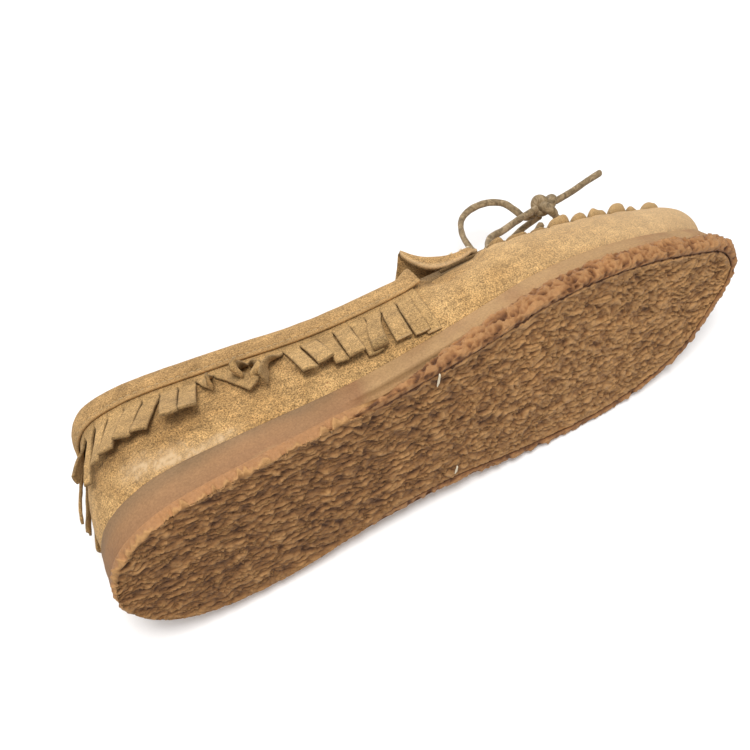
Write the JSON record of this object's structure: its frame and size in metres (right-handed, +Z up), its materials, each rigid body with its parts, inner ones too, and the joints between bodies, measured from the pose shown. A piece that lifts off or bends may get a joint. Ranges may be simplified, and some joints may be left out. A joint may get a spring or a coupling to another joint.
{
  "type": "moccasin",
  "caption": "Low suede moccasin for the right foot: crepe sole with a low heel wedge, gathered plug seam, side fringe under the collar and a tied lace bow.",
  "frame": {"origin": "on the ground face of the tread, midway between the heel end and the toe end of the sole, on the heel's centre line", "axes": "+X from heel to toe, +Y to the inner (medial) side of the foot, +Z up from the ground face"},
  "size_m": [0.2628, 0.088, 0.0861],
  "materials": {
    "suede": "napped, golden tan, mottled",
    "fringe": "napped, greyer tan, cut edges",
    "lace": "round brown rawhide, slightly waxed",
    "crepe": "crinkled crepe, brown with an orange edge",
    "midsole": "fine grain, pinkish tan, matt",
    "lining": "smooth sock leather",
    "board": "pressed fibre board",
    "foam": "soft foam strip",
    "thread": "waxed sewing thread",
    "pale_thread": "loose pale thread"
  },
  "bodies": {
    "shoe": {"crepe_tread": "crepe", "crepe_rand": "crepe", "midsole": "midsole", "insole_board": "board", "footbed": "lining", "heel_counter": "board", "wrapper": "suede", "plug": "suede", "plug_seam_thread": "thread", "collar_binding": "suede", "collar_padding": "foam", "binding_stitch": "thread", "fringe_header": "fringe", "thread_end_outer": "pale_thread", "thread_end_inner": "pale_thread", "lace_strand_outer": "lace", "lace_strand_inner": "lace", "lace_knot": "lace"},
    "tongue_flap": {"tongue": "suede"},
    "bow_loop_outer": {"lace_loop_outer": "lace"},
    "bow_loop_inner": {"lace_loop_inner": "lace"},
    "bow_tail_outer": {"lace_tail_outer": "lace"},
    "bow_tail_inner": {"lace_tail_inner": "lace"},
    "fringe_01": {"tassel_01": "fringe"},
    "fringe_02": {"tassel_02": "fringe"},
    "fringe_03": {"tassel_03": "fringe"},
    "fringe_04": {"tassel_04": "fringe"},
    "fringe_05": {"tassel_05": "fringe"},
    "fringe_06": {"tassel_06": "fringe"},
    "fringe_07": {"tassel_07": "fringe"},
    "fringe_08": {"tassel_08": "fringe"},
    "fringe_09": {"tassel_09": "fringe"},
    "fringe_10": {"tassel_10": "fringe"},
    "fringe_11": {"tassel_11": "fringe"},
    "fringe_12": {"tassel_12": "fringe"},
    "fringe_13": {"tassel_13": "fringe"},
    "fringe_14": {"tassel_14": "fringe"},
    "fringe_15": {"tassel_15": "fringe"},
    "fringe_16": {"tassel_16": "fringe"},
    "fringe_17": {"tassel_17": "fringe"},
    "fringe_18": {"tassel_18": "fringe"},
    "fringe_19": {"tassel_19": "fringe"},
    "fringe_20": {"tassel_20": "fringe"},
    "fringe_21": {"tassel_21": "fringe"},
    "fringe_22": {"tassel_22": "fringe"},
    "fringe_23": {"tassel_23": "fringe"},
    "fringe_24": {"tassel_24": "fringe"},
    "fringe_25": {"tassel_25": "fringe"},
    "fringe_26": {"tassel_26": "fringe"},
    "fringe_27": {"tassel_27": "fringe"},
    "fringe_28": {"tassel_28": "fringe"},
    "fringe_29": {"tassel_29": "fringe"},
    "fringe_30": {"tassel_30": "fringe"},
    "fringe_31": {"tassel_31": "fringe"},
    "fringe_32": {"tassel_32": "fringe"},
    "fringe_33": {"tassel_33": "fringe"},
    "fringe_34": {"tassel_34": "fringe"}
  },
  "joints": [
    {"name": "tongue_lift", "type": "hinge", "parent": "shoe", "child": "tongue_flap", "pos_m": [0.04, 0, 0.052], "axis": [0, 1, 0], "range_deg": [0, 55]},
    {"name": "bow_loop_outer_swing", "type": "hinge", "parent": "shoe", "child": "bow_loop_outer", "pos_m": [0.047, -0.0125, 0.0645], "axis": [0.995, 0, 0.0995], "range_deg": [0, 60]},
    {"name": "bow_loop_inner_swing", "type": "hinge", "parent": "shoe", "child": "bow_loop_inner", "pos_m": [0.084, -0.0075, 0.0685], "axis": [0.995, 0, 0.0995], "range_deg": [0, 40]},
    {"name": "bow_tail_outer_swing", "type": "hinge", "parent": "shoe", "child": "bow_tail_outer", "pos_m": [0.0925, -0.0145, 0.0663], "axis": [0, 0, 1], "range_deg": [-30, 30]},
    {"name": "bow_tail_inner_swing", "type": "hinge", "parent": "shoe", "child": "bow_tail_inner", "pos_m": [0.09, -0.0085, 0.0625], "axis": [0, 0, 1], "range_deg": [-30, 30]},
    {"name": "fringe_01_swing", "type": "hinge", "parent": "shoe", "child": "fringe_01", "pos_m": [-0.00155, 0.02833, 0.03878], "axis": [0.9981, 0.0557, -0.0271], "range_deg": [0, 75]},
    {"name": "fringe_02_swing", "type": "hinge", "parent": "shoe", "child": "fringe_02", "pos_m": [-0.00964, 0.02798, 0.03899], "axis": [0.999, 0.0371, -0.025], "range_deg": [0, 75]},
    {"name": "fringe_03_swing", "type": "hinge", "parent": "shoe", "child": "fringe_03", "pos_m": [-0.01773, 0.02771, 0.03925], "axis": [0.9991, 0.0287, -0.0323], "range_deg": [0, 75]},
    {"name": "fringe_04_swing", "type": "hinge", "parent": "shoe", "child": "fringe_04", "pos_m": [-0.02582, 0.02749, 0.03966], "axis": [0.9983, 0.0212, -0.0552], "range_deg": [0, 75]},
    {"name": "fringe_05_swing", "type": "hinge", "parent": "shoe", "child": "fringe_05", "pos_m": [-0.03384, 0.02731, 0.04038], "axis": [0.996, 0.0123, -0.0884], "range_deg": [0, 75]},
    {"name": "fringe_06_swing", "type": "hinge", "parent": "shoe", "child": "fringe_06", "pos_m": [-0.04183, 0.02726, 0.04146], "axis": [0.993, -0.016, -0.1171], "range_deg": [0, 75]},
    {"name": "fringe_07_swing", "type": "hinge", "parent": "shoe", "child": "fringe_07", "pos_m": [-0.04982, 0.02734, 0.04281], "axis": [0.9902, -0.0246, -0.1377], "range_deg": [0, 75]},
    {"name": "fringe_08_swing", "type": "hinge", "parent": "shoe", "child": "fringe_08", "pos_m": [-0.05781, 0.02741, 0.04431], "axis": [0.9884, -0.0153, -0.1508], "range_deg": [0, 75]},
    {"name": "fringe_09_swing", "type": "hinge", "parent": "shoe", "child": "fringe_09", "pos_m": [-0.0658, 0.02732, 0.04588], "axis": [0.9875, 0.0134, -0.1568], "range_deg": [0, 75]},
    {"name": "fringe_10_swing", "type": "hinge", "parent": "shoe", "child": "fringe_10", "pos_m": [-0.07392, 0.02693, 0.04742], "axis": [0.9865, 0.0521, -0.1552], "range_deg": [0, 75]},
    {"name": "fringe_11_swing", "type": "hinge", "parent": "shoe", "child": "fringe_11", "pos_m": [-0.08173, 0.02648, 0.04885], "axis": [0.9863, 0.0502, -0.1575], "range_deg": [0, 75]},
    {"name": "fringe_12_swing", "type": "hinge", "parent": "shoe", "child": "fringe_12", "pos_m": [-0.08976, 0.02588, 0.05036], "axis": [0.9824, 0.0896, -0.164], "range_deg": [0, 75]},
    {"name": "fringe_13_swing", "type": "hinge", "parent": "shoe", "child": "fringe_13", "pos_m": [-0.09781, 0.0247, 0.052], "axis": [0.9639, 0.1975, -0.1786], "range_deg": [0, 75]},
    {"name": "fringe_14_swing", "type": "hinge", "parent": "shoe", "child": "fringe_14", "pos_m": [-0.10562, 0.02206, 0.05394], "axis": [0.8873, 0.408, -0.215], "range_deg": [0, 75]},
    {"name": "fringe_15_swing", "type": "hinge", "parent": "shoe", "child": "fringe_15", "pos_m": [-0.11226, 0.01786, 0.05614], "axis": [0.7476, 0.6246, -0.2257], "range_deg": [0, 75]},
    {"name": "fringe_16_swing", "type": "hinge", "parent": "shoe", "child": "fringe_16", "pos_m": [-0.11737, 0.01155, 0.05794], "axis": [0.4711, 0.8711, -0.1386], "range_deg": [0, 75]},
    {"name": "fringe_17_swing", "type": "hinge", "parent": "shoe", "child": "fringe_17", "pos_m": [-0.12007, 0.00344, 0.05901], "axis": [0.162, 0.9854, -0.0515], "range_deg": [0, 75]},
    {"name": "fringe_18_swing", "type": "hinge", "parent": "shoe", "child": "fringe_18", "pos_m": [-0.11984, -0.00487, 0.05891], "axis": [-0.2068, 0.9757, 0.0718], "range_deg": [0, 75]},
    {"name": "fringe_19_swing", "type": "hinge", "parent": "shoe", "child": "fringe_19", "pos_m": [-0.11679, -0.01278, 0.05775], "axis": [-0.5215, 0.8399, 0.1504], "range_deg": [0, 75]},
    {"name": "fringe_20_swing", "type": "hinge", "parent": "shoe", "child": "fringe_20", "pos_m": [-0.11122, -0.0187, 0.05577], "axis": [-0.7937, 0.5637, 0.2286], "range_deg": [0, 75]},
    {"name": "fringe_21_swing", "type": "hinge", "parent": "shoe", "child": "fringe_21", "pos_m": [-0.10455, -0.02238, 0.05359], "axis": [-0.9079, 0.367, 0.2026], "range_deg": [0, 75]},
    {"name": "fringe_22_swing", "type": "hinge", "parent": "shoe", "child": "fringe_22", "pos_m": [-0.09643, -0.02473, 0.0516], "axis": [-0.9717, 0.1653, 0.1685], "range_deg": [0, 75]},
    {"name": "fringe_23_swing", "type": "hinge", "parent": "shoe", "child": "fringe_23", "pos_m": [-0.08839, -0.02574, 0.04991], "axis": [-0.9849, 0.0763, 0.1557], "range_deg": [0, 75]},
    {"name": "fringe_24_swing", "type": "hinge", "parent": "shoe", "child": "fringe_24", "pos_m": [-0.08037, -0.02629, 0.04835], "axis": [-0.9873, 0.0497, 0.1512], "range_deg": [0, 75]},
    {"name": "fringe_25_swing", "type": "hinge", "parent": "shoe", "child": "fringe_25", "pos_m": [-0.07265, -0.02677, 0.04689], "axis": [-0.9862, 0.0658, 0.1521], "range_deg": [0, 75]},
    {"name": "fringe_26_swing", "type": "hinge", "parent": "shoe", "child": "fringe_26", "pos_m": [-0.06449, -0.02726, 0.04533], "axis": [-0.987, 0.0358, 0.1565], "range_deg": [0, 75]},
    {"name": "fringe_27_swing", "type": "hinge", "parent": "shoe", "child": "fringe_27", "pos_m": [-0.0565, -0.02752, 0.04381], "axis": [-0.9884, 0.0181, 0.151], "range_deg": [0, 75]},
    {"name": "fringe_28_swing", "type": "hinge", "parent": "shoe", "child": "fringe_28", "pos_m": [-0.04851, -0.0277, 0.04239], "axis": [-0.9905, 0.0136, 0.1371], "range_deg": [0, 75]},
    {"name": "fringe_29_swing", "type": "hinge", "parent": "shoe", "child": "fringe_29", "pos_m": [-0.04051, -0.02789, 0.04114], "axis": [-0.9932, 0.0211, 0.1146], "range_deg": [0, 75]},
    {"name": "fringe_30_swing", "type": "hinge", "parent": "shoe", "child": "fringe_30", "pos_m": [-0.03253, -0.02817, 0.04015], "axis": [-0.9958, 0.0397, 0.0823], "range_deg": [0, 75]},
    {"name": "fringe_31_swing", "type": "hinge", "parent": "shoe", "child": "fringe_31", "pos_m": [-0.02447, -0.02854, 0.03953], "axis": [-0.9979, 0.0449, 0.0465], "range_deg": [0, 75]},
    {"name": "fringe_32_swing", "type": "hinge", "parent": "shoe", "child": "fringe_32", "pos_m": [-0.01639, -0.02894, 0.03918], "axis": [-0.9983, 0.05, 0.0283], "range_deg": [0, 75]},
    {"name": "fringe_33_swing", "type": "hinge", "parent": "shoe", "child": "fringe_33", "pos_m": [-0.0083, -0.02937, 0.03897], "axis": [-0.9981, 0.0571, 0.0217], "range_deg": [0, 75]},
    {"name": "fringe_34_swing", "type": "hinge", "parent": "shoe", "child": "fringe_34", "pos_m": [-0.00027, -0.03002, 0.03884], "axis": [-0.9945, 0.1039, 0.0163], "range_deg": [0, 75]}
  ]
}
